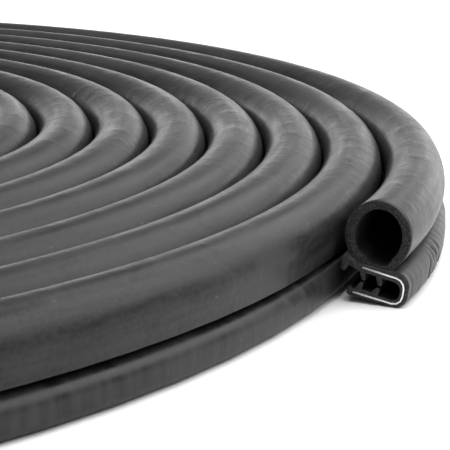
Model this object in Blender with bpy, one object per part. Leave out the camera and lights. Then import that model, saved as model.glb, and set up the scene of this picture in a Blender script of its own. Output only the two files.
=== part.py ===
"""Rubber edge trim: bulb trim seal wound into a flat coil that lies on the floor.

The strip has three pieces. A dense rubber channel grips the edge of a panel with four fins. A thin
metal core, bent to a U, runs inside the channel and makes it clamp. A hollow sponge bulb is bonded
along the top of the channel. In the coil the channel lies on its side, with its mouth towards the
middle of the coil, its closed nose outwards and its bulb on top.

The frame's origin is the middle of the coil's footprint on the floor and +Z is up. The strip's cut
end lies at +X, with its cut face looking along -Y. Sizes are in metres.
"""
import math

import bmesh
import bpy
from mathutils import Matrix, Vector

# Coil. The turns lie in a true spiral, and the number of turns is rounded to whole segments.
STRIP_LENGTH = 15.0
TURNS = 9.25
SEGMENTS_PER_TURN = 16
TURN_CLEARANCE = 0.0003

# The free end rolls over its nose, so that its open mouth lifts off the floor.
ROLL_ANGLE = math.radians(9.0)
ROLL_STEPS = 6

# The section, seen on the cut face. x runs outwards from the middle of the bulb and z runs up.
# Sponge bulb
BULB_RADIUS = 0.0125
BULB_WALL = 0.0030
BULB_FLOOR = 0.0010
BULB_FLAT = 0.0018
BULB_FOOT_INNER = 0.0054
BULB_FOOT_OUTER = 0.0080
HOLLOW_FLOOR_INNER = 0.0026
HOLLOW_FLOOR_OUTER = 0.0058
FLANK_ANGLE_OUTER = math.radians(-42.0)
FLANK_ANGLE_INNER = math.radians(225.0)
BULB_ARC_STEPS = 10
HOLLOW_ARC_STEPS = 6

# Dense rubber channel
BOND_GAP = 0.0003
CHANNEL_HEIGHT = 0.0128
UPPER_WALL = 0.0032
LOWER_WALL = 0.0035
NOSE_OVERHANG = 0.0015
NOSE_WALL = 0.0032
NOSE_CHAMFER = 0.0028
LIP_REACH = 0.0080

# Hook, the curled lip above the mouth
HOOK_GAP = 0.0004
HOOK_OVERHANG = 0.0026
HOOK_DROP = 0.0044
HOOK_THICKNESS = 0.0022
HOOK_ARM = 0.0070

# Fins that grip the panel. Each is a triangle that leans into the channel.
FIN_WIDTH = 0.0022
FIN_HEIGHT = 0.0026
FIN_LEAN = 0.0008
UPPER_FINS = (-0.0034, 0.0028)
LOWER_FINS = (-0.0041, 0.0023)

# Metal core
CORE_THICKNESS = 0.0006
CORE_CLEARANCE = 0.0003
CORE_UPPER_DEPTH = 0.0013
CORE_LOWER_DEPTH = 0.0016
CORE_NOSE_DEPTH = 0.0016
CORE_NOSE_CHAMFER = 0.0019
CORE_UPPER_REACH = 0.0037
CORE_LOWER_REACH = 0.0058

# Heights of the section's levels, measured from the middle of the bulb
BULB_FOOT_DEPTH = BULB_RADIUS - BULB_FLAT
CHANNEL_TOP = -(BULB_FOOT_DEPTH + BOND_GAP)
CHANNEL_BOTTOM = CHANNEL_TOP - CHANNEL_HEIGHT
CEILING = CHANNEL_TOP - UPPER_WALL
GROUND = CHANNEL_BOTTOM + LOWER_WALL
BULB_HEIGHT = -CHANNEL_BOTTOM

# The closed nose of the channel stands out past the bulb.
NOSE_REACH = BULB_RADIUS + NOSE_OVERHANG


def arc(radius, start, end, steps):
    """Return the points of an arc round the middle of the bulb, both ends included."""
    angles = [start + (end - start) * step / steps for step in range(steps + 1)]
    return [(radius * math.cos(angle), radius * math.sin(angle)) for angle in angles]


def bulb_outline():
    """Return the outside of the bulb: a round back on a flat foot."""
    back = arc(BULB_RADIUS, FLANK_ANGLE_OUTER, FLANK_ANGLE_INNER, BULB_ARC_STEPS)
    return back + [(-BULB_FOOT_INNER, -BULB_FOOT_DEPTH), (BULB_FOOT_OUTER, -BULB_FOOT_DEPTH)]


def hollow_outline():
    """Return the hollow of the bulb, one wall inside its back and with a thin flat floor."""
    floor = -BULB_FOOT_DEPTH + BULB_FLOOR
    back = arc(BULB_RADIUS - BULB_WALL, FLANK_ANGLE_OUTER, FLANK_ANGLE_INNER, HOLLOW_ARC_STEPS)
    return back + [(-HOLLOW_FLOOR_INNER, floor), (HOLLOW_FLOOR_OUTER, floor)]


def fin(position, level, height):
    """Return the three corners of a fin that stands on a wall at the given level."""
    return [
        (position - FIN_WIDTH / 2, level),
        (position + FIN_LEAN, level + height),
        (position + FIN_WIDTH / 2, level),
    ]


def channel_outline():
    """Return the outside of the channel with its hook, fins, lip and nose, in order round it.

    The hook's top runs along the inner flank of the bulb, a small gap away from it.
    """
    flank_x = BULB_RADIUS * math.cos(FLANK_ANGLE_INNER)
    flank_z = BULB_RADIUS * math.sin(FLANK_ANGLE_INNER)
    flank_slope = math.atan2(flank_z + BULB_FOOT_DEPTH, -flank_x - BULB_FOOT_INNER)
    crown_x = flank_x - HOOK_GAP * math.sin(flank_slope)
    crown_z = flank_z - HOOK_GAP * math.cos(flank_slope)
    reach = crown_x - HOOK_OVERHANG
    hook = [
        (-BULB_FOOT_INNER, CHANNEL_TOP),
        (crown_x, crown_z),
        (reach, CHANNEL_TOP - 0.3 * HOOK_DROP),
        (reach + 0.6 * HOOK_THICKNESS, CHANNEL_TOP - HOOK_DROP),
        (reach + 1.2 * HOOK_THICKNESS, CHANNEL_TOP - 0.4 * HOOK_DROP),
        (-HOOK_ARM, CEILING),
    ]
    ceiling = [corner for place in UPPER_FINS for corner in fin(place, CEILING, -FIN_HEIGHT)]
    end_wall = [(NOSE_REACH - NOSE_WALL, CEILING), (NOSE_REACH - NOSE_WALL, GROUND)]
    ground = [corner for place in LOWER_FINS for corner in fin(place, GROUND, FIN_HEIGHT)][::-1]
    lip = [(-LIP_REACH, GROUND), (-LIP_REACH, CHANNEL_BOTTOM)]
    nose = [
        (NOSE_REACH - NOSE_CHAMFER, CHANNEL_BOTTOM),
        (NOSE_REACH, CHANNEL_BOTTOM + NOSE_CHAMFER),
        (NOSE_REACH, CHANNEL_TOP - NOSE_CHAMFER),
        (NOSE_REACH - NOSE_CHAMFER, CHANNEL_TOP),
    ]
    return hook + ceiling + end_wall + ground + lip + nose


def core_line():
    """Return the middle line of the core: two legs joined round the nose of the channel."""
    upper = CHANNEL_TOP - CORE_UPPER_DEPTH
    lower = CHANNEL_BOTTOM + CORE_LOWER_DEPTH
    nose = NOSE_REACH - CORE_NOSE_DEPTH
    return [
        (-CORE_UPPER_REACH, upper),
        (nose - CORE_NOSE_CHAMFER, upper),
        (nose, upper - CORE_NOSE_CHAMFER),
        (nose, lower + CORE_NOSE_CHAMFER),
        (nose - CORE_NOSE_CHAMFER, lower),
        (-CORE_LOWER_REACH, lower),
    ]


def thick_line(points, thickness, extension=0.0):
    """Return the outline of a line of constant thickness, with mitred corners.

    extension lengthens the line at both of its ends.
    """
    directions = []
    for (x0, z0), (x1, z1) in zip(points, points[1:]):
        length = math.hypot(x1 - x0, z1 - z0)
        directions.append(((x1 - x0) / length, (z1 - z0) / length))
    one_side, other_side = [], []
    for place, (x, z) in enumerate(points):
        before = directions[max(place - 1, 0)]
        after = directions[min(place, len(directions) - 1)]
        along = (before[0] + after[0], before[1] + after[1])
        size = math.hypot(*along)
        mitre = thickness / 2 / (size / 2)
        across = (-along[1] / size * mitre, along[0] / size * mitre)
        push = {0: -extension, len(points) - 1: extension}.get(place, 0.0)
        x, z = x + before[0] * push, z + before[1] * push
        one_side.append((x + across[0], z + across[1]))
        other_side.append((x - across[0], z - across[1]))
    return one_side + other_side[::-1]


def widest_span(outlines):
    """Return the widest that the section gets at any one height."""
    edges = [pair for outline in outlines for pair in zip(outline, outline[1:] + outline[:1])]
    widest = 0.0
    for level in {z for outline in outlines for _, z in outline}:
        places = []
        for (x0, z0), (x1, z1) in edges:
            if min(z0, z1) <= level <= max(z0, z1):
                share = 0.0 if z0 == z1 else (level - z0) / (z1 - z0)
                places += [x0 + share * (x1 - x0)] if z0 != z1 else [x0, x1]
        widest = max(widest, max(places) - min(places))
    return widest


def coil_stations():
    """Return the place of the section at each station, from the inner end to the cut end.

    The turns lie as close as the widest part of the section lets them. Every turn has its
    stations at the same angles, so the flats of one turn lie beside the flats of the next.
    The whole coil is moved so that its footprint's middle is the origin.
    """
    step = math.tau / SEGMENTS_PER_TURN
    segments = round(TURNS * SEGMENTS_PER_TURN)
    whole_angle = segments * step
    span = widest_span([bulb_outline(), channel_outline()])
    pitch = (span + TURN_CLEARANCE) / math.cos(step / 2)
    outer_radius = STRIP_LENGTH / whole_angle + pitch * whole_angle / (2 * math.tau)

    angles = [step * place for place in range(segments, 0, -1)]
    angles += [step * place / ROLL_STEPS for place in range(ROLL_STEPS - 1, -1, -1)]
    pivot = Matrix.Translation((NOSE_REACH - NOSE_CHAMFER, 0.0, CHANNEL_BOTTOM))
    stations = []
    for angle in angles:
        radius = outer_radius - pitch * angle / math.tau
        roll = ROLL_ANGLE * max(0.0, 1.0 - angle / step)
        place = Matrix.Rotation(angle, 4, "Z") @ Matrix.Translation((radius, 0.0, BULB_HEIGHT))
        if roll > 0.0:
            place = place @ pivot @ Matrix.Rotation(roll, 4, "Y") @ pivot.inverted()
        stations.append(place)

    section = [Vector((x, 0.0, z)) for x, z in bulb_outline() + channel_outline()]
    corners = [place @ corner for place in stations for corner in section]
    middle_x = (min(corner.x for corner in corners) + max(corner.x for corner in corners)) / 2
    middle_y = (min(corner.y for corner in corners) + max(corner.y for corner in corners)) / 2
    centring = Matrix.Translation((-middle_x, -middle_y, 0.0))
    return [centring @ place for place in stations]


def sweep(name, outlines, material, collection):
    """Sweep a flat section, with its holes, through every station of the coil.

    outlines holds the outside of the section first and then its holes.
    """
    bm = bmesh.new()
    for outline in outlines:
        corners = [bm.verts.new((x, 0.0, z)) for x, z in outline]
        for first, second in zip(corners, corners[1:] + corners[:1]):
            bm.edges.new((first, second))
    bmesh.ops.triangle_fill(bm, use_beauty=True, use_dissolve=False, edges=bm.edges[:])
    stations = coil_stations()
    bmesh.ops.transform(bm, matrix=stations[0], verts=bm.verts[:])
    front = bm.faces[:]
    for place, (previous, station) in enumerate(zip(stations, stations[1:])):
        moved = bmesh.ops.extrude_face_region(bm, geom=front)["geom"]
        if place:
            bmesh.ops.delete(bm, geom=front, context="FACES")
        front = [item for item in moved if isinstance(item, bmesh.types.BMFace)]
        corners = [item for item in moved if isinstance(item, bmesh.types.BMVert)]
        bmesh.ops.transform(bm, matrix=station @ previous.inverted(), verts=corners)
    bmesh.ops.recalc_face_normals(bm, faces=bm.faces[:])

    mesh = bpy.data.meshes.new(name)
    bm.to_mesh(mesh)
    bm.free()
    mesh.materials.append(material)
    mesh.shade_smooth()
    mesh.set_sharp_from_angle(angle=math.radians(35.0))
    strip = bpy.data.objects.new(name, mesh)
    collection.objects.link(strip)
    return strip


def finish(name, colour, roughness, metallic):
    """Return a Principled material."""
    material = bpy.data.materials.new(name)
    material.use_nodes = True
    shader = material.node_tree.nodes["Principled BSDF"]
    shader.inputs["Base Color"].default_value = (*colour, 1.0)
    shader.inputs["Roughness"].default_value = roughness
    shader.inputs["Metallic"].default_value = metallic
    material.diffuse_color = (*colour, 1.0)
    return material


def main():
    """Build the three pieces of the strip as one coil."""
    for leftover in list(bpy.data.objects):
        bpy.data.objects.remove(leftover)
    collection = bpy.data.collections.new("rubber_edge_trim")
    bpy.context.scene.collection.children.link(collection)

    sponge = finish("sponge_rubber", (0.035, 0.035, 0.037), 0.75, 0.0)
    rubber = finish("dense_rubber", (0.022, 0.022, 0.024), 0.5, 0.0)
    steel = finish("core_steel", (0.72, 0.72, 0.70), 0.3, 1.0)

    core = thick_line(core_line(), CORE_THICKNESS)
    slot = thick_line(core_line(), CORE_THICKNESS + 2 * CORE_CLEARANCE, CORE_CLEARANCE)
    sweep("sponge_bulb", [bulb_outline(), hollow_outline()], sponge, collection)
    sweep("rubber_channel", [channel_outline(), slot], rubber, collection)
    sweep("metal_core", [core], steel, collection)


main()
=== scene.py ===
"""Dressing of a rubber edge trim: a bulb trim seal wound into a flat coil on a white floor.

Every piece of the strip is modelled straight, along +X, with its section drawn across it. It is
then rolled up at its free end and wound round the spiral of the coil, so that each piece stands
where its solid stands in the frame. Sizes are in metres, written as millimetres times MM, but
those of a section are in plain millimetres from the middle of the bulb.
"""
from __future__ import annotations

import logging
import math
from contextlib import contextmanager
from dataclasses import dataclass, replace
from enum import Enum
from typing import Callable, Iterator

import bmesh
import bpy
import numpy as np
from mathutils import Matrix, Vector


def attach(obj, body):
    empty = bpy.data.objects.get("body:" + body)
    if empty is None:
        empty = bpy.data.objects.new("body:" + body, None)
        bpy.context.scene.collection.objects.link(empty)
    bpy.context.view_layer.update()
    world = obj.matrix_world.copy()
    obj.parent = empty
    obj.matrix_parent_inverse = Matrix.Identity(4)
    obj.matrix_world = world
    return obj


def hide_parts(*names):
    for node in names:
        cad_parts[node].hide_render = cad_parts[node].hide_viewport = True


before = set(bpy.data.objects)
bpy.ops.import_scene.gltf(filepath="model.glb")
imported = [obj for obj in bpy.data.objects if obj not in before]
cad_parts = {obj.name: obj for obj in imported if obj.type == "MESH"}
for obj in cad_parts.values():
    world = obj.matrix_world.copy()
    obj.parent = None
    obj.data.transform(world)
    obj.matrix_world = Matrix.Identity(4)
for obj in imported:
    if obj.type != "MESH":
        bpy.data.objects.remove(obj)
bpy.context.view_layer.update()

LOG = logging.getLogger("edge_trim")
MM = 0.001
BODY = "root"
PLACE_ATTRIBUTE = "strip_place"
MERGE_NEAR = 0.02 * MM
CORNER_NEAR = 0.001 * MM
WIDE_ROUND = 1.5
WIDE_STEPS = 5
SMALL_STEPS = 2
TIP_ROUND = 0.5
SMOOTH_ANGLE = math.radians(50.0)

# The Mix node's sockets for colours: its two inputs and its output.
MIX_FIRST, MIX_SECOND, MIX_RESULT = 6, 7, 2

Pair = tuple[float, float]
Triple = tuple[float, float, float]


class End(Enum):
    """The two ends of the strip."""

    CUT = "cut"
    INNER = "inner"


@dataclass(frozen=True)
class Corner:
    """One corner of a section's outline, seen on the cut face.

    across runs outwards from the middle of the bulb and up runs up. The corner is rounded where
    round_off is more than nothing.
    """

    across: float
    up: float
    round_off: float = 0.0

    def place(self) -> Vector:
        """Return the corner's place in the straight strip, where +Y is the coil's inner side."""
        return Vector((0.0, -self.across * MM, self.up * MM))


@dataclass(frozen=True)
class Coil:
    """The spiral that the strip is wound to, from its cut end inwards."""

    strip_length: float = 15.0
    turns: float = 9.25
    pitch: float = 25.79 * MM
    middle_x: float = -7.62 * MM
    middle_y: float = -6.45 * MM
    bulb_height: float = 23.8 * MM
    points_per_turn: int = 288

    @property
    def outer_radius(self) -> float:
        """Return the radius of the bulb's middle at the cut end."""
        angle = self.turns * math.tau
        return self.strip_length / angle + self.pitch * angle / (2 * math.tau)

    def centre_line(self) -> bpy.types.Object:
        """Make the spiral as a curve that strips can be bent along.

        Returns:
            The curve object. Its length is the strip's length.
        """
        count = round(self.turns * self.points_per_turn) + 1
        curve = bpy.data.curves.new("centre_line", "CURVE")
        curve.dimensions = "3D"
        curve.twist_mode = "Z_UP"
        spline = curve.splines.new("POLY")
        spline.points.add(count - 1)
        for step, point in enumerate(spline.points):
            angle = step * math.tau / self.points_per_turn
            radius = self.outer_radius - self.pitch * angle / math.tau
            x = self.middle_x + radius * math.cos(angle)
            y = self.middle_y + radius * math.sin(angle)
            point.co = (x, y, self.bulb_height, 1.0)
        line = bpy.data.objects.new("centre_line", curve)
        bpy.context.scene.collection.objects.link(line)
        return line


@dataclass(frozen=True)
class FreeEnd:
    """How the strip's free end rolls over its nose, so that the mouth lifts off the floor."""

    roll: float = math.radians(7.5)
    reach: float = 150.0 * MM
    pivot_across: float = 11.2
    pivot_up: float = -23.8


@dataclass(frozen=True)
class Stretch:
    """A part of the strip's length and the number of steps that it is made in."""

    length: float
    count: int


def raised(corners: tuple[Corner, ...], level: float) -> list[Corner]:
    """Return corners that are measured from a level where they stand on the cut face.

    Args:
        corners: The corners, measured up from the level.
        level: The level's own height.

    Returns:
        The corners, measured up from the middle of the bulb.
    """
    return [replace(corner, up=level + corner.up) for corner in corners]


def ease(share: float) -> float:
    """Return a share from 0 to 1 with a soft start and a soft end."""
    return share * share * (3.0 - 2.0 * share)


def only(piece: bpy.types.Object) -> None:
    """Make a piece the one that is selected and active.

    Args:
        piece: The piece to select.
    """
    bpy.ops.object.select_all(action="DESELECT")
    piece.select_set(True)
    bpy.context.view_layer.objects.active = piece


@contextmanager
def editing(piece: bpy.types.Object) -> Iterator[None]:
    """Work on one piece in edit mode, and leave that mode afterwards.

    Args:
        piece: The piece to edit.
    """
    only(piece)
    bpy.ops.object.mode_set(mode="EDIT")
    yield
    bpy.ops.object.mode_set(mode="OBJECT")


def choose(piece: bpy.types.Object, wanted: Callable[[Vector], bool]) -> None:
    """Select the vertices of a piece in edit mode by their place.

    Args:
        piece: The piece, which is in edit mode.
        wanted: Says of a place whether the vertex there is selected.
    """
    bpy.ops.mesh.select_all(action="DESELECT")
    bpy.ops.mesh.select_mode(type="VERT")
    bm = bmesh.from_edit_mesh(piece.data)
    for vertex in bm.verts:
        if wanted(vertex.co):
            vertex.select = True
    bm.select_flush_mode()
    bmesh.update_edit_mesh(piece.data)


def first_vertex(name: str, corner: Corner) -> bpy.types.Object:
    """Add an object of a single vertex, and leave it in edit mode.

    Args:
        name: The object's name.
        corner: Where the vertex stands.

    Returns:
        The new object.
    """
    bpy.ops.object.select_all(action="DESELECT")
    bpy.ops.mesh.primitive_plane_add(size=MM)
    drawing = bpy.context.object
    drawing.name = name
    bpy.ops.object.mode_set(mode="EDIT")
    bpy.ops.mesh.select_all(action="SELECT")
    bpy.ops.mesh.merge(type="CENTER")
    bpy.ops.transform.translate(value=corner.place())
    return drawing


def extrude_to(start: Corner, end: Corner) -> None:
    """Extrude the selected vertex from one corner to the next."""
    step = end.place() - start.place()
    bpy.ops.mesh.extrude_region_move(TRANSFORM_OT_translate={"value": step})


def round_corners(drawing: bpy.types.Object, corners: list[Corner], segments: int) -> None:
    """Close an outline with a face, round its corners, and leave its edges only.

    Args:
        drawing: The outline's object, in edit mode.
        corners: The outline's corners.
        segments: The number of edges across a wide round. Small rounds have SMALL_STEPS.
    """
    bpy.ops.mesh.select_all(action="SELECT")
    bpy.ops.mesh.edge_face_add()
    for radius in sorted({corner.round_off for corner in corners if corner.round_off > 0.0}):
        places = [corner.place() for corner in corners if corner.round_off == radius]
        choose(drawing, lambda spot: any((spot - place).length < CORNER_NEAR for place in places))
        steps = segments if radius > WIDE_ROUND else SMALL_STEPS
        bpy.ops.mesh.bevel(offset=radius * MM, segments=steps, affect="VERTICES")
    bpy.ops.mesh.select_all(action="SELECT")
    bpy.ops.mesh.delete(type="ONLY_FACE")


def draw_outline(name: str, corners: list[Corner], segments: int) -> bpy.types.Object:
    """Draw a closed outline, corner by corner, in the plane across the strip.

    Args:
        name: The new object's name.
        corners: The outline's corners, in order.
        segments: The number of edges across a wide round.

    Returns:
        The outline as an object of edges.
    """
    drawing = first_vertex(name, corners[0])
    for start, end in zip(corners, corners[1:]):
        extrude_to(start, end)
    round_corners(drawing, corners, segments)
    bpy.ops.object.mode_set(mode="OBJECT")
    return drawing


def join(pieces: list[bpy.types.Object]) -> bpy.types.Object:
    """Join several objects into the first of them.

    Args:
        pieces: The objects to join.

    Returns:
        The first object, which now holds them all.
    """
    only(pieces[0])
    for piece in pieces:
        piece.select_set(True)
    bpy.ops.object.join()
    return pieces[0]


def apply_modifier(piece: bpy.types.Object, kind: str, **settings: object) -> None:
    """Add a modifier to a piece and apply it.

    Args:
        piece: The piece to change.
        kind: Blender's name for the modifier's type.
        settings: Values for the modifier's own settings.
    """
    only(piece)
    modifier = piece.modifiers.new(kind.lower(), kind)
    for setting, value in settings.items():
        setattr(modifier, setting, value)
    bpy.ops.object.modifier_apply(modifier=modifier.name)


def run_out(drawing: bpy.types.Object, part: Stretch) -> None:
    """Extrude an outline along a part of the strip, in equal steps.

    Args:
        drawing: The outline's object.
        part: The length to run and the number of steps.
    """
    step = part.length / part.count
    with editing(drawing):
        bpy.ops.mesh.select_all(action="SELECT")
        bpy.ops.mesh.extrude_region_move(TRANSFORM_OT_translate={"value": (step, 0.0, 0.0)})
    apply_modifier(
        drawing,
        "ARRAY",
        count=part.count,
        use_relative_offset=False,
        use_constant_offset=True,
        constant_offset_displace=(step, 0.0, 0.0),
        use_merge_vertices=True,
        merge_threshold=MERGE_NEAR,
    )


def run_in_two(drawing: bpy.types.Object, fine: Stretch, coarse: Stretch) -> bpy.types.Object:
    """Run an outline out with short steps at the cut end and long ones after them.

    Args:
        drawing: The outline's object.
        fine: The part at the cut end.
        coarse: The part after it.

    Returns:
        The strip as one object.
    """
    only(drawing)
    bpy.ops.object.duplicate()
    rest = bpy.context.object
    with editing(rest):
        bpy.ops.mesh.select_all(action="SELECT")
        bpy.ops.transform.translate(value=(fine.length, 0.0, 0.0))
    run_out(drawing, fine)
    run_out(rest, coarse)
    strip = join([drawing, rest])
    with editing(strip):
        bpy.ops.mesh.select_all(action="SELECT")
        bpy.ops.mesh.remove_doubles(threshold=MERGE_NEAR)
    return strip


@dataclass
class StripPiece:
    """A piece that runs the whole length of the strip.

    fine is the part at the cut end, and coarse_count the number of steps in the rest. near tells
    the vertices of a cut face from those of the next step.
    """

    node: str
    slot: str
    fine: Stretch
    coarse_count: int
    cut_chamfer: float = 0.25 * MM
    near: float = 0.3 * MM

    @property
    def rim(self) -> float:
        """Return the depth at the cut end that holds the cut face and its chamfer only."""
        return 1.5 * self.cut_chamfer

    def draw(self) -> bpy.types.Object:
        """Draw the piece's section. Each piece has its own."""
        raise NotImplementedError

    def finishes(self) -> list[bpy.types.Material]:
        """Return the finish of the piece's skin and that of its cut faces."""
        raise NotImplementedError

    def relief(self, strip: bpy.types.Object) -> None:
        """Shape what a plain section lacks, before the strip is wound.

        Args:
            strip: The straight strip.
        """

    def build(self, coil: Coil, free_end: FreeEnd) -> bpy.types.Object:
        """Model the piece and wind it.

        Args:
            coil: The spiral to wind it round.
            free_end: How the free end rolls.

        Returns:
            The finished piece.
        """
        strip = self.draw()
        coarse = Stretch(coil.strip_length - self.fine.length, self.coarse_count)
        strip = run_in_two(strip, self.fine, coarse)
        strip.name = f"{self.node}_dressed"
        for finish in self.finishes():
            strip.data.materials.append(finish)
        self.close_ends(strip, coil)
        self.relief(strip)
        self.keep_place(strip)
        self.roll_free_end(strip, free_end)
        self.wind(strip, coil)
        return strip

    def close_ends(self, strip: bpy.types.Object, coil: Coil) -> None:
        """Close both ends with cut faces, and turn all faces outwards.

        Args:
            strip: The straight strip.
            coil: The coil, for the strip's length.
        """
        for end in End:
            self.close_end(strip, coil, end)
        with editing(strip):
            bpy.ops.mesh.select_all(action="SELECT")
            bpy.ops.mesh.normals_make_consistent(inside=False)

    def close_end(self, strip: bpy.types.Object, coil: Coil, end: End) -> None:
        """Close one end with a cut face whose edge is a little chamfered.

        Args:
            strip: The straight strip.
            coil: The coil, for the strip's length.
            end: The end to close.
        """
        place, inwards = (0.0, 1.0) if end is End.CUT else (coil.strip_length, -1.0)
        with editing(strip):
            choose(strip, lambda spot: abs(spot.x - place) < self.near)
            bpy.ops.mesh.fill(use_beauty=True)
            strip.active_material_index = 1
            bpy.ops.object.material_slot_assign()
            bpy.ops.mesh.inset(thickness=self.cut_chamfer, depth=0.0)
            bm = bmesh.from_edit_mesh(strip.data)
            for vertex in bm.verts:
                if not vertex.select and abs(vertex.co.x - place) < self.near:
                    vertex.co.x += inwards * self.cut_chamfer
            bmesh.update_edit_mesh(strip.data)

    def keep_place(self, strip: bpy.types.Object) -> None:
        """Keep each vertex's place in the straight strip, for the finishes to follow.

        Args:
            strip: The straight strip.
        """
        places = np.empty(len(strip.data.vertices) * 3, dtype=np.float32)
        strip.data.vertices.foreach_get("co", places)
        attribute = strip.data.attributes.new(PLACE_ATTRIBUTE, "FLOAT_VECTOR", "POINT")
        attribute.data.foreach_set("vector", places)

    def roll_free_end(self, strip: bpy.types.Object, free_end: FreeEnd) -> None:
        """Roll the free end over its nose, less and less along the strip.

        Args:
            strip: The straight strip.
            free_end: The roll's sizes.
        """
        pivot = Corner(free_end.pivot_across, free_end.pivot_up).place()
        with editing(strip):
            choose(strip, lambda spot: spot.x < self.rim)
            bpy.ops.transform.rotate(
                value=-free_end.roll,
                orient_axis="X",
                center_override=pivot,
                use_proportional_edit=True,
                proportional_edit_falloff="SMOOTH",
                proportional_size=free_end.reach,
            )

    def wind(self, strip: bpy.types.Object, coil: Coil) -> None:
        """Bend the strip along the coil's spiral and smooth its shading.

        Args:
            strip: The straight strip.
            coil: The spiral to wind it round.
        """
        line = coil.centre_line()
        apply_modifier(strip, "CURVE", object=line, deform_axis="POS_X")
        bpy.data.objects.remove(line)
        only(strip)
        bpy.ops.object.shade_smooth_by_angle(angle=SMOOTH_ANGLE)


@dataclass
class SpongeBulb(StripPiece):
    """The hollow sponge rubber bulb on top of the channel."""

    radius: float = 12.5
    hollow_width: float = 17.6
    hollow_height: float = 19.4
    hollow_shift: float = 0.3
    foot_depth: float = 10.7
    foot_inner: float = 5.2
    foot_outer: float = 8.1
    foot_round: float = 0.5
    round_steps: int = 3
    floor: float = 0.7
    floor_inner: float = 2.0
    floor_outer: float = 5.6
    floor_round: float = 1.2
    flank_outer: float = math.radians(-42.0)
    flank_inner: float = math.radians(225.0)
    back_steps: int = 52
    end_squeeze: Pair = (0.97, 1.02)
    crease_across: float = 11.9
    crease_length: float = 400 * MM
    crease_start: float = 0.15
    skin_near: float = 0.05

    def draw(self) -> bpy.types.Object:
        """Draw the bulb's outside and its hollow.

        Returns:
            The two outlines as one object of edges.
        """
        foot = [
            Corner(-self.foot_inner, -self.foot_depth, self.foot_round),
            Corner(self.foot_outer, -self.foot_depth, self.foot_round),
        ]
        level = -self.foot_depth + self.floor
        floor = [
            Corner(-self.floor_inner, level, self.floor_round),
            Corner(self.floor_outer, level, self.floor_round),
        ]
        outside = self.draw_back("bulb_outside", self.radius, foot)
        hollow = self.draw_back("bulb_hollow", self.hollow_height / 2, floor)
        squeeze = (1.0, self.hollow_width / self.hollow_height, 1.0)
        with editing(hollow):
            bpy.ops.mesh.select_all(action="SELECT")
            bpy.ops.transform.resize(value=squeeze, center_override=(0.0, 0.0, 0.0))
            bpy.ops.transform.translate(value=(0.0, -self.hollow_shift * MM, 0.0))
        return join([outside, hollow])

    def draw_back(self, name: str, radius: float, foot: list[Corner]) -> bpy.types.Object:
        """Draw a round back that stands on a flat foot.

        Args:
            name: The new object's name.
            radius: The back's radius.
            foot: The two corners of the foot, inner one first.

        Returns:
            The outline as an object of edges.
        """
        start, end = (
            Corner(radius * math.cos(angle), radius * math.sin(angle))
            for angle in (self.flank_outer, self.flank_inner)
        )
        drawing = first_vertex(name, start)
        bpy.ops.mesh.spin(
            steps=self.back_steps,
            angle=self.flank_inner - self.flank_outer,
            center=(0.0, 0.0, 0.0),
            axis=(1.0, 0.0, 0.0),
        )
        extrude_to(end, foot[0])
        extrude_to(foot[0], foot[1])
        round_corners(drawing, foot, self.round_steps)
        bpy.ops.object.mode_set(mode="OBJECT")
        return drawing

    def relief(self, strip: bpy.types.Object) -> None:
        """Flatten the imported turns' flank, and let the free end stand narrower and higher.

        Args:
            strip: The straight strip.
        """
        self.crease_flank(strip)
        across, up = self.end_squeeze
        with editing(strip):
            choose(strip, lambda spot: spot.x < self.rim)
            bpy.ops.transform.resize(
                value=(1.0, across, up),
                center_override=(0.0, self.radius * MM, -self.foot_depth * MM),
                use_proportional_edit=True,
                proportional_edit_falloff="SMOOTH",
                proportional_size=self.fine.length,
            )

    def crease_flank(self, strip: bpy.types.Object) -> None:
        """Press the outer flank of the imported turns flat, down to a crease over the channel.

        Args:
            strip: The straight strip, whose two ends stay round.
        """
        low = self.radius * math.sin(self.flank_outer)
        length = max(vertex.co.x for vertex in strip.data.vertices)
        for vertex in strip.data.vertices:
            across, up = -vertex.co.y / MM, vertex.co.z / MM
            on_skin = abs(math.hypot(across, up) - self.radius) < self.skin_near
            if not on_skin or across < 0.0 or not low - self.skin_near < up < 0.0:
                continue
            run = min(1.0, max(0.0, vertex.co.x / self.crease_length - self.crease_start))
            run *= min(1.0, (length - vertex.co.x) / self.crease_length)
            flat = self.radius + (self.crease_across - self.radius) * up / low
            vertex.co.y = -(across + (flat - across) * ease(run)) * MM

    def finishes(self) -> list[bpy.types.Material]:
        """Return the sponge's skin and its cut face."""
        return [SpongeSkin().material(), CutSponge().material()]


@dataclass(frozen=True)
class CoreLine:
    """The middle line of the metal core in the channel: two legs and a round nose."""

    thickness: float = 0.6
    upper_mouth: float = -12.4
    upper_nose: float = -13.3
    lower_mouth: float = -22.2
    lower_nose: float = -22.95
    nose: float = 12.2
    upper_round: float = 3.3
    lower_round: float = 3.6
    upper_reach: float = 4.0
    lower_reach: float = 5.9
    round_steps: int = 3

    def draw(self, name: str, clearance: float = 0.0) -> bpy.types.Object:
        """Draw the core's outline, or that of a slot round it.

        Args:
            name: The new object's name.
            clearance: How far the outline stands off the core.

        Returns:
            The outline as an object of edges.
        """
        return draw_outline(name, self.outline(clearance), self.round_steps)

    def outline(self, clearance: float = 0.0) -> list[Corner]:
        """Return the corners of the core's outline, or of a slot round it.

        Args:
            clearance: How far the outline stands off the core.

        Returns:
            The corners in order.
        """
        half = self.thickness / 2 + clearance
        return [
            Corner(-self.upper_reach - clearance, self.upper_mouth + half),
            Corner(self.nose + half, self.upper_nose + half, self.upper_round + half),
            Corner(self.nose + half, self.lower_nose - half, self.lower_round + half),
            Corner(-self.lower_reach - clearance, self.lower_mouth - half),
            Corner(-self.lower_reach - clearance, self.lower_mouth + half),
            Corner(self.nose - half, self.lower_nose + half, self.lower_round - half),
            Corner(self.nose - half, self.upper_nose - half, self.upper_round - half),
            Corner(-self.upper_reach - clearance, self.upper_mouth - half),
        ]


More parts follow.
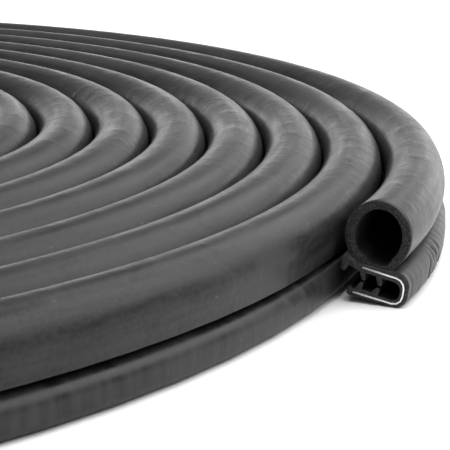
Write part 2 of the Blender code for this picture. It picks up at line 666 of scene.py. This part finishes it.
@dataclass
class RubberChannel(StripPiece):
    """The dense rubber channel with its hook, lip, nose and four gripping fins."""

    top: float = -10.75
    bottom: float = -23.8
    ceiling: float = -14.2
    ceiling_drop: float = 0.7
    ground: float = -20.5
    ground_drop: float = 1.3
    nose_reach: float = 14.0
    nose_top: float = -11.7
    nose_round: float = 4.2
    shoulder: float = 8.6
    shoulder_round: float = 0.5
    end_wall: float = 10.9
    end_round: float = 2.8
    lip_reach: float = 8.3
    lip_inner_round: float = 0.6
    lip_outer_round: float = 1.2
    slot_clearance: float = 0.08

    # Measured up from the channel's top: the curled hook above the mouth.
    hook: tuple[Corner, ...] = (
        Corner(-5.4, 0.0, 0.2),
        Corner(-10.0, 2.3, 1.2),
        Corner(-12.2, 1.1, 1.6),
        Corner(-11.95, -4.4, 1.2),
        Corner(-9.9, -4.5, 0.9),
        Corner(-9.45, -1.8, 0.4),
    )

    # Measured up from the ceiling: the two fins that hang from it.
    upper_fins: tuple[Corner, ...] = (
        Corner(-4.5, 0.0),
        Corner(-3.5, -2.8, TIP_ROUND),
        Corner(-2.1, -2.9, TIP_ROUND),
        Corner(-2.6, 0.0),
        Corner(1.5, -0.2),
        Corner(2.6, -3.4, TIP_ROUND),
        Corner(4.1, -3.3, TIP_ROUND),
        Corner(3.9, -0.4),
    )

    # Measured up from the ground: the two fins that stand on it, and the hollow behind the lip.
    lower_fins: tuple[Corner, ...] = (
        Corner(3.3, -0.7),
        Corner(3.7, 1.9, TIP_ROUND),
        Corner(2.3, 2.1, TIP_ROUND),
        Corner(0.7, -0.2),
        Corner(-2.9, 0.0),
        Corner(-2.6, 2.8, TIP_ROUND),
        Corner(-3.9, 2.7, TIP_ROUND),
        Corner(-5.4, 0.0),
    )
    lip_hollow: tuple[Corner, ...] = (Corner(-6.2, -0.7, 0.3), Corner(-6.9, 0.0, 0.4))

    ripple_height: float = 2.2 * MM
    ripple_pitch: float = 2.4 * MM
    ripple_slant: float = 0.3
    ripple_shape: tuple[Pair, ...] = ((0, 0), (0.14, 0.6), (0.4, 0.9), (1, 1))
    ripple_level: float = 0.7
    ripple_waver: float = 5.0
    ripple_inset: float = 1.0
    ripple_width: float = 3.8
    ripple_least: float = 0.12
    ripple_rise: float = 42 * MM
    ripple_fade: float = 40 * MM

    def draw(self) -> bpy.types.Object:
        """Draw the channel's outside and the slot for its core.

        Returns:
            The two outlines as one object of edges.
        """
        corners = [
            *raised(self.hook, self.top),
            *raised(self.upper_fins, self.ceiling),
            *self.inside_of_nose(),
            *raised(self.lower_fins, self.ground),
            *raised(self.lip_hollow, self.ground),
            *self.lip(),
            *self.nose(),
        ]
        outside = draw_outline("channel_outside", corners, WIDE_STEPS)
        return join([outside, CoreLine().draw("core_slot", self.slot_clearance)])

    def inside_of_nose(self) -> list[Corner]:
        """Return the round end of the channel's inside."""
        return [
            Corner(self.end_wall, self.ceiling - self.ceiling_drop, self.end_round),
            Corner(self.end_wall, self.ground - self.ground_drop, self.end_round),
        ]

    def lip(self) -> list[Corner]:
        """Return the lower lip of the mouth."""
        return [
            Corner(-self.lip_reach, self.ground, self.lip_inner_round),
            Corner(-self.lip_reach, self.bottom, self.lip_outer_round),
        ]

    def nose(self) -> list[Corner]:
        """Return the outside of the closed nose and the channel's shoulder by the bulb."""
        return [
            Corner(self.nose_reach, self.bottom, self.nose_round),
            Corner(self.nose_reach, self.nose_top, self.nose_round),
            Corner(self.shoulder, self.top, self.shoulder_round),
        ]

    def relief(self, strip: bpy.types.Object) -> None:
        """Raise the ripples that the bend presses into the nose near the free end.

        Args:
            strip: The straight strip.
        """
        group = self.ripple_weights(strip)
        guide = bpy.data.objects.new("ripple_guide", None)
        guide.scale = (1.0, 1.0 / self.ripple_slant, 1.0 / self.ripple_slant)
        bpy.context.scene.collection.objects.link(guide)
        bpy.context.view_layer.update()
        apply_modifier(
            strip,
            "DISPLACE",
            texture=self.ripple_texture(),
            texture_coords="OBJECT",
            texture_coords_object=guide,
            strength=self.ripple_height,
            mid_level=self.ripple_level,
            vertex_group=group.name,
        )
        bpy.data.objects.remove(guide)
        strip.vertex_groups.clear()

    def ripple_weights(self, strip: bpy.types.Object) -> bpy.types.VertexGroup:
        """Weigh the nose by how strongly it ripples: most at its outer edge.

        Args:
            strip: The straight strip.

        Returns:
            The vertex group that holds the weights.
        """
        group = strip.vertex_groups.new(name="ripples")
        start = self.end_wall - self.ripple_inset
        for vertex in strip.data.vertices:
            x, across = vertex.co.x, -vertex.co.y / MM
            if not self.rim < x < self.fine.length or across < start:
                continue
            strength = min(1.0, (across - start) / self.ripple_width) ** 2
            near_end = self.ripple_least + x / self.ripple_rise
            fade = min(1.0, near_end, (self.fine.length - x) / self.ripple_fade)
            group.add([vertex.index], strength * fade, "REPLACE")
        return group

    def ripple_texture(self) -> bpy.types.Texture:
        """Make the bands that the ripples follow, with round tops and narrow valleys.

        Returns:
            The texture.
        """
        bands = bpy.data.textures.new("ripples", "WOOD")
        bands.wood_type = "BANDNOISE"
        bands.noise_basis_2 = "SIN"
        # A scale of 1 puts ten waves of the sine in a length of tau.
        bands.noise_scale = self.ripple_pitch * 10 / math.tau
        bands.turbulence = self.ripple_waver
        bands.use_color_ramp = True
        ramp = bands.color_ramp
        while len(ramp.elements) < len(self.ripple_shape):
            ramp.elements.new(0.5)
        for element, (place, level) in zip(ramp.elements, self.ripple_shape):
            element.position = place
            element.color = (level, level, level, 1.0)
        return bands

    def finishes(self) -> list[bpy.types.Material]:
        """Return the dense rubber's skin and its cut face."""
        return [DenseRubber().material(), CutRubber().material()]


@dataclass
class MetalCore(StripPiece):
    """The bright band inside the channel, which shows on the cut face."""

    cut_chamfer: float = 0.08 * MM
    proud: float = 0.15 * MM

    def draw(self) -> bpy.types.Object:
        """Draw the core's thin U."""
        return CoreLine().draw("core_outline")

    def relief(self, strip: bpy.types.Object) -> None:
        """Let the core stand a little proud of the cut rubber.

        Args:
            strip: The straight strip.
        """
        with editing(strip):
            choose(strip, lambda spot: spot.x < self.rim)
            bpy.ops.transform.translate(value=(-self.proud, 0.0, 0.0))

    def finishes(self) -> list[bpy.types.Material]:
        """Return the steel of the band and its cut edge, which are alike."""
        return [BrightSteel().material(), BrightSteel("steel_cut", 0.3).material()]


@dataclass(frozen=True)
class Layer:
    """One layer of cloudy noise in a finish.

    size is that of its blotches and depth that of its relief, both in metres. detail is how many
    finer layers it has and rough how strong they are. stretch is what the place along, across and
    up the strip is multiplied by.
    """

    size: float
    detail: float
    stretch: Triple = (1.0, 1.0, 1.0)
    rough: float = 0.5
    depth: float = 0.0


@dataclass(frozen=True)
class Dust:
    """Specks of dust, as far apart as spacing says, that lie in patches."""

    colour: Triple
    spacing: float
    speck_range: Pair
    patch: Layer
    patch_range: Pair
    strength: float


class Pad:
    """The nodes of one material, with short ways to add those that the finishes share."""

    def __init__(self, name: str) -> None:
        """Start a material with its Principled shader.

        Args:
            name: The material's name.
        """
        self.material = bpy.data.materials.new(name)
        self.material.use_nodes = True
        self.nodes = self.material.node_tree.nodes
        self.links = self.material.node_tree.links
        self.shader = self.nodes["Principled BSDF"]

    def set(self, **values: object) -> None:
        """Set the shader's own sockets, named with underscores for spaces."""
        for name, value in values.items():
            self.shader.inputs[name.replace("_", " ")].default_value = value

    def feed(self, socket: str, source: bpy.types.NodeSocket) -> None:
        """Link a source to one of the shader's sockets."""
        self.links.new(source, self.shader.inputs[socket])

    def place(self, stretch: Triple = (1.0, 1.0, 1.0)) -> bpy.types.NodeSocket:
        """Return the place in the straight strip, stretched along its axes.

        Args:
            stretch: What the place along, across and up the strip is multiplied by.

        Returns:
            The vector to read a texture at.
        """
        attribute = self.nodes.new("ShaderNodeAttribute")
        attribute.attribute_name = PLACE_ATTRIBUTE
        mapping = self.nodes.new("ShaderNodeMapping")
        mapping.inputs["Scale"].default_value = stretch
        self.links.new(attribute.outputs["Vector"], mapping.inputs["Vector"])
        return mapping.outputs["Vector"]

    def noise(self, layer: Layer) -> bpy.types.NodeSocket:
        """Return cloudy noise.

        Args:
            layer: The noise's sizes.

        Returns:
            The noise, from 0 to 1.
        """
        node = self.nodes.new("ShaderNodeTexNoise")
        node.inputs["Scale"].default_value = 1.0 / layer.size
        node.inputs["Detail"].default_value = layer.detail
        node.inputs["Roughness"].default_value = layer.rough
        self.links.new(self.place(layer.stretch), node.inputs["Vector"])
        return node.outputs["Fac"]

    def cells(self, spacing: float) -> bpy.types.NodeSocket:
        """Return the distance to the middles of scattered cells.

        Args:
            spacing: The size of a cell, in metres.

        Returns:
            The distance, where 1 is a cell's size.
        """
        node = self.nodes.new("ShaderNodeTexVoronoi")
        node.inputs["Scale"].default_value = 1.0 / spacing
        self.links.new(self.place(), node.inputs["Vector"])
        return node.outputs["Distance"]

    def between(
        self, source: bpy.types.NodeSocket, limits: Pair, to: Pair = (0.0, 1.0)
    ) -> bpy.types.NodeSocket:
        """Map a range of a value to another range, and hold it at the ends.

        Args:
            source: The value.
            limits: The start and the end of its range.
            to: The two values that they become.

        Returns:
            The mapped value.
        """
        node = self.nodes.new("ShaderNodeMapRange")
        node.inputs["From Min"].default_value = limits[0]
        node.inputs["From Max"].default_value = limits[1]
        node.inputs["To Min"].default_value = to[0]
        node.inputs["To Max"].default_value = to[1]
        self.links.new(source, node.inputs["Value"])
        return node.outputs["Result"]

    def blend(
        self, factor: bpy.types.NodeSocket, first: Triple | bpy.types.NodeSocket, second: Triple
    ) -> bpy.types.NodeSocket:
        """Mix two colours by a factor.

        Args:
            factor: The share of the second colour.
            first: The first colour, as a triple or a socket.
            second: The second colour.

        Returns:
            The mixed colour.
        """
        node = self.nodes.new("ShaderNodeMix")
        node.data_type = "RGBA"
        self.links.new(factor, node.inputs["Factor"])
        if isinstance(first, bpy.types.NodeSocket):
            self.links.new(first, node.inputs[MIX_FIRST])
        else:
            node.inputs[MIX_FIRST].default_value = (*first, 1.0)
        node.inputs[MIX_SECOND].default_value = (*second, 1.0)
        return node.outputs[MIX_RESULT]

    def combine(
        self, kind: str, first: bpy.types.NodeSocket, second: bpy.types.NodeSocket
    ) -> bpy.types.NodeSocket:
        """Work two values out as one.

        Args:
            kind: Blender's name for the operation.
            first: The first value.
            second: The second value.

        Returns:
            The result.
        """
        node = self.nodes.new("ShaderNodeMath")
        node.operation = kind
        self.links.new(first, node.inputs[0])
        self.links.new(second, node.inputs[1])
        return node.outputs[0]

    def relief(
        self,
        height: bpy.types.NodeSocket,
        depth: float,
        under: bpy.types.NodeSocket | None = None,
    ) -> bpy.types.NodeSocket:
        """Return the normal of a fine relief.

        Args:
            height: The relief's height, from 0 to 1.
            depth: The relief's depth, in metres.
            under: The normal of a relief that this one lies on.

        Returns:
            The normal.
        """
        node = self.nodes.new("ShaderNodeBump")
        node.inputs["Strength"].default_value = 1.0
        node.inputs["Distance"].default_value = depth
        self.links.new(height, node.inputs["Height"])
        if under is not None:
            self.links.new(under, node.inputs["Normal"])
        return node.outputs["Normal"]

    def dusted(self, colour: bpy.types.NodeSocket, dust: Dust) -> bpy.types.NodeSocket:
        """Sprinkle specks of dust over a colour.

        Args:
            colour: The colour under the dust.
            dust: The specks' sizes and colour.

        Returns:
            The colour with its dust.
        """
        specks = self.between(self.cells(dust.spacing), dust.speck_range, (1.0, 0.0))
        thin = self.between(self.noise(dust.patch), dust.patch_range, (0.0, dust.strength))
        return self.blend(self.combine("MULTIPLY", specks, thin), colour, dust.colour)


@dataclass(frozen=True)
class SpongeSkin:
    """The bulb's smooth satin skin, with faint smudges and fine wrinkles across the strip."""

    dark: Triple = (0.011, 0.011, 0.0112)
    light: Triple = (0.030, 0.030, 0.0303)
    dust: Dust = Dust(
        (0.28, 0.28, 0.27), 4.5 * MM, (0.035, 0.055), Layer(31.0 * MM, 1.0), (0.46, 0.56), 0.7
    )
    roughness: Pair = (0.28, 0.42)
    gloss: float = 0.2
    tone_range: Pair = (1.2, 1.8)
    patch_range: Pair = (0.5, 0.64)
    smudge: Layer = Layer(9.0 * MM, 4.0, (0.35, 1.0, 1.0))
    streak: Layer = Layer(3.0 * MM, 3.0, (0.06, 1.0, 1.0))
    speckle: Layer = Layer(1.6 * MM, 3.0, rough=0.7, depth=0.05 * MM)
    patch: Layer = Layer(13.0 * MM, 2.0)
    swell: Layer = Layer(24.0 * MM, 1.0, (0.5, 1.0, 1.0), depth=0.5 * MM)
    crease: Layer = Layer(5.0 * MM, 3.0, (1.0, 0.5, 0.5), depth=0.11 * MM)
    wrinkle: Layer = Layer(1.9 * MM, 3.0, (1.0, 0.5, 0.5), 0.6, 0.10 * MM)
    grain: Layer = Layer(0.35 * MM, 2.0, depth=0.02 * MM)

    def material(self) -> bpy.types.Material:
        """Make the material.

        Returns:
            The material.
        """
        pad = Pad("sponge_skin")
        speckle = pad.noise(self.speckle)
        tone = pad.combine("ADD", pad.noise(self.smudge), pad.noise(self.streak))
        tone = pad.between(pad.combine("ADD", tone, speckle), self.tone_range)
        colour = pad.blend(tone, self.dark, self.light)
        pad.feed("Base Color", pad.dusted(colour, self.dust))
        pad.feed("Roughness", pad.between(tone, (0.0, 1.0), self.roughness))
        pad.set(Specular_IOR_Level=self.gloss)
        patches = pad.between(pad.noise(self.patch), self.patch_range)
        normal = pad.relief(pad.noise(self.swell), self.swell.depth)
        for layer in (self.crease, self.wrinkle):
            height = pad.combine("MULTIPLY", pad.noise(layer), patches)
            normal = pad.relief(height, layer.depth, normal)
        normal = pad.relief(speckle, self.speckle.depth, normal)
        pad.feed("Normal", pad.relief(pad.noise(self.grain), self.grain.depth, normal))
        return pad.material


@dataclass(frozen=True)
class CutSponge:
    """The grainy cut face of the sponge."""

    dark: Triple = (0.010, 0.010, 0.010)
    light: Triple = (0.080, 0.080, 0.081)
    roughness: float = 0.9
    gloss: float = 0.1
    pore_spacing: float = 0.6 * MM
    pore_range: Pair = (0.1, 0.7)
    grain: Layer = Layer(0.5 * MM, 4.0, rough=0.7, depth=0.3 * MM)
    grain_range: Pair = (0.25, 0.75)

    def material(self) -> bpy.types.Material:
        """Make the material.

        Returns:
            The material.
        """
        pad = Pad("cut_sponge")
        pores = pad.between(pad.cells(self.pore_spacing), self.pore_range)
        grain = pad.between(pad.noise(self.grain), self.grain_range)
        tone = pad.combine("MULTIPLY", pores, grain)
        pad.feed("Base Color", pad.blend(tone, self.dark, self.light))
        pad.set(Roughness=self.roughness, Specular_IOR_Level=self.gloss)
        pad.feed("Normal", pad.relief(pad.combine("ADD", pores, grain), self.grain.depth))
        return pad.material


@dataclass(frozen=True)
class DenseRubber:
    """The channel's darker skin, with fine ripples across the strip and specks of dust."""

    dark: Triple = (0.007, 0.007, 0.0072)
    light: Triple = (0.026, 0.026, 0.0263)
    dust: Dust = Dust(
        (0.30, 0.30, 0.29), 3.4 * MM, (0.045, 0.075), Layer(21.0 * MM, 1.0), (0.52, 0.6), 0.7
    )
    roughness: Pair = (0.36, 0.54)
    rough_range: Pair = (0.3, 0.7)
    gloss: float = 0.34
    tone_range: Pair = (0.36, 0.64)
    smudge: Layer = Layer(5.0 * MM, 4.0, (1.0, 0.3, 0.3))
    ripple: Layer = Layer(4.5 * MM, 3.0, (1.0, 0.2, 0.2), depth=0.28 * MM)
    grain: Layer = Layer(0.4 * MM, 2.0, depth=0.015 * MM)

    def material(self) -> bpy.types.Material:
        """Make the material.

        Returns:
            The material.
        """
        pad = Pad("dense_rubber_skin")
        smudge = pad.noise(self.smudge)
        colour = pad.blend(pad.between(smudge, self.tone_range), self.dark, self.light)
        pad.feed("Base Color", pad.dusted(colour, self.dust))
        pad.feed("Roughness", pad.between(smudge, self.rough_range, self.roughness))
        pad.set(Specular_IOR_Level=self.gloss)
        normal = pad.relief(pad.noise(self.ripple), self.ripple.depth)
        pad.feed("Normal", pad.relief(pad.noise(self.grain), self.grain.depth, normal))
        return pad.material


@dataclass(frozen=True)
class CutRubber:
    """The smooth matt cut face of the dense rubber, with faint marks where the knife dragged."""

    dark: Triple = (0.020, 0.020, 0.020)
    light: Triple = (0.046, 0.046, 0.046)
    roughness: float = 0.7
    gloss: float = 0.2
    drag: Layer = Layer(0.9 * MM, 3.0, (1.0, 0.5, 1.0), depth=0.05 * MM)
    drag_range: Pair = (0.35, 0.65)

    def material(self) -> bpy.types.Material:
        """Make the material.

        Returns:
            The material.
        """
        pad = Pad("cut_rubber")
        drag = pad.between(pad.noise(self.drag), self.drag_range)
        pad.feed("Base Color", pad.blend(drag, self.dark, self.light))
        pad.set(Roughness=self.roughness, Specular_IOR_Level=self.gloss)
        pad.feed("Normal", pad.relief(drag, self.drag.depth))
        return pad.material


@dataclass(frozen=True)
class BrightSteel:
    """The core's bright steel, lightly scratched along the strip."""

    name: str = "core_steel_bright"
    base_roughness: float = 0.25
    rough_spread: float = 0.15
    dark: Triple = (0.86, 0.86, 0.85)
    light: Triple = (0.95, 0.95, 0.95)
    scratch: Layer = Layer(0.3 * MM, 3.0, (0.05, 1.0, 1.0))
    scratch_range: Pair = (0.3, 0.7)

    def material(self) -> bpy.types.Material:
        """Make the material.

        Returns:
            The material.
        """
        pad = Pad(self.name)
        scratch = pad.noise(self.scratch)
        pad.feed("Base Color", pad.blend(scratch, self.dark, self.light))
        pad.set(Metallic=1.0)
        limits = (self.base_roughness, self.base_roughness + self.rough_spread)
        pad.feed("Roughness", pad.between(scratch, self.scratch_range, limits))
        return pad.material


@dataclass(frozen=True)
class Softbox:
    """A soft rectangular studio light that looks at the middle of the coil.

    bearing and climb are in degrees, seen from the middle of the coil, and bearing is 0 along +X.
    """

    name: str
    bearing: float
    climb: float
    width: float
    height: float
    glow: float
    distance: float = 2.4

    def build(self) -> None:
        """Add the light."""
        light = bpy.data.lights.new(self.name, "AREA")
        light.shape = "RECTANGLE"
        light.size = self.width
        light.size_y = self.height
        light.energy = self.glow * math.pi * self.width * self.height
        lamp = bpy.data.objects.new(self.name, light)
        bearing, climb = math.radians(self.bearing), math.radians(self.climb)
        level = math.cos(climb)
        lamp.location = self.distance * Vector(
            (level * math.cos(bearing), level * math.sin(bearing), math.sin(climb))
        )
        lamp.rotation_euler = (-lamp.location).to_track_quat("-Z", "Y").to_euler()
        bpy.context.scene.collection.objects.link(lamp)


@dataclass(frozen=True)
class Studio:
    """The white floor, the soft light and the camera."""

    floor_size: float = 12.0
    floor_drop: float = 0.2 * MM
    floor_white: float = 0.9
    floor_rough: float = 0.9
    floor_gloss: float = 0.1
    sky: float = 0.22
    camera_place: Triple = (526.7 * MM, -486.8 * MM, 162.2 * MM)
    camera_heading: float = math.radians(23.89)
    camera_tilt: float = math.radians(14.883)
    camera_roll: float = math.radians(0.638)
    lens: float = 118.3
    sensor: float = 36.0
    near_clip: float = 0.01

    def build(self) -> None:
        """Add the floor, the lights and the camera."""
        self.add_floor()
        self.add_sky()
        self.add_lights()
        self.add_camera()
        bpy.context.scene.view_settings.view_transform = "Standard"

    def add_floor(self) -> None:
        """Add the floor, a little under the coil."""
        bpy.ops.object.select_all(action="DESELECT")
        bpy.ops.mesh.primitive_plane_add(size=self.floor_size, location=(0, 0, -self.floor_drop))
        floor = bpy.context.object
        floor.name = "floor"
        bpy.ops.object.transform_apply(location=True, rotation=True, scale=True)
        material = bpy.data.materials.new("floor_white")
        material.use_nodes = True
        shader = material.node_tree.nodes["Principled BSDF"]
        shader.inputs["Base Color"].default_value = (*[self.floor_white] * 3, 1.0)
        shader.inputs["Roughness"].default_value = self.floor_rough
        shader.inputs["Specular IOR Level"].default_value = self.floor_gloss
        floor.data.materials.append(material)

    def add_sky(self) -> None:
        """Light the studio evenly from all round."""
        world = bpy.data.worlds.new("studio")
        world.use_nodes = True
        background = world.node_tree.nodes["Background"]
        background.inputs["Color"].default_value = (1.0, 1.0, 1.0, 1.0)
        background.inputs["Strength"].default_value = self.sky
        bpy.context.scene.world = world

    def add_lights(self) -> None:
        """Add low strips behind the coil, which draw its rims, and soft boxes all round it."""
        lights = (  # name, bearing, climb, width, height, glow
            Softbox("back_strip", 113.9, 6.0, 2.4, 0.4, 2.2),
            Softbox("back_box", 113.9, 40.0, 1.7, 1.7, 0.2),
            Softbox("far_right_strip", 62.0, 7.0, 2.0, 0.45, 2.5),
            Softbox("far_right_box", 68.9, 40.0, 1.7, 1.7, 2.2),
            Softbox("right_box", 23.9, 40.0, 1.7, 1.7, 3.6),
            Softbox("near_right_box", -21.1, 45.0, 1.7, 1.7, 1.3),
            Softbox("near_left_box", -111.1, 40.0, 1.7, 1.7, 0.8),
            Softbox("left_strip", -150.0, 14.0, 1.9, 0.8, 1.0),
            Softbox("top_box", 0.0, 89.9, 1.7, 1.7, 5.2),
        )
        for light in lights:
            light.build()

    def add_camera(self) -> None:
        """Add the camera at the photograph's angle."""
        data = bpy.data.cameras.new("camera")
        data.lens = self.lens
        data.sensor_width = self.sensor
        data.clip_start = self.near_clip
        camera = bpy.data.objects.new("camera", data)
        turn = Matrix.Rotation(self.camera_heading, 4, "Z")
        tilt = Matrix.Rotation(math.pi / 2 - self.camera_tilt, 4, "X")
        roll = Matrix.Rotation(self.camera_roll, 4, "Z")
        camera.matrix_world = Matrix.Translation(self.camera_place) @ turn @ tilt @ roll
        bpy.context.scene.collection.objects.link(camera)
        bpy.context.scene.camera = camera


def triangle_count(piece: bpy.types.Object) -> int:
    """Return how many triangles a piece's faces make."""
    return sum(len(face.vertices) - 2 for face in piece.data.polygons)


def main() -> None:
    """Build the three pieces of the strip and the studio."""
    logging.basicConfig(level=logging.INFO, format="%(message)s")
    coil, free_end = Coil(), FreeEnd()
    pieces = (
        SpongeBulb("sponge_bulb", "sponge_rubber", Stretch(200 * MM, 60), coarse_count=780),
        RubberChannel("rubber_channel", "dense_rubber", Stretch(84 * MM, 270), coarse_count=580),
        MetalCore("metal_core", "core_steel", Stretch(160 * MM, 40), coarse_count=700),
    )
    for piece in pieces:
        made = piece.build(coil, free_end)
        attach(made, BODY)
        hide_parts(piece.node)
        LOG.info("%s: %d triangles", made.name, triangle_count(made))
    Studio().build()
    LOG.info("studio: floor, lights and camera")


if __name__ == "__main__":
    main()
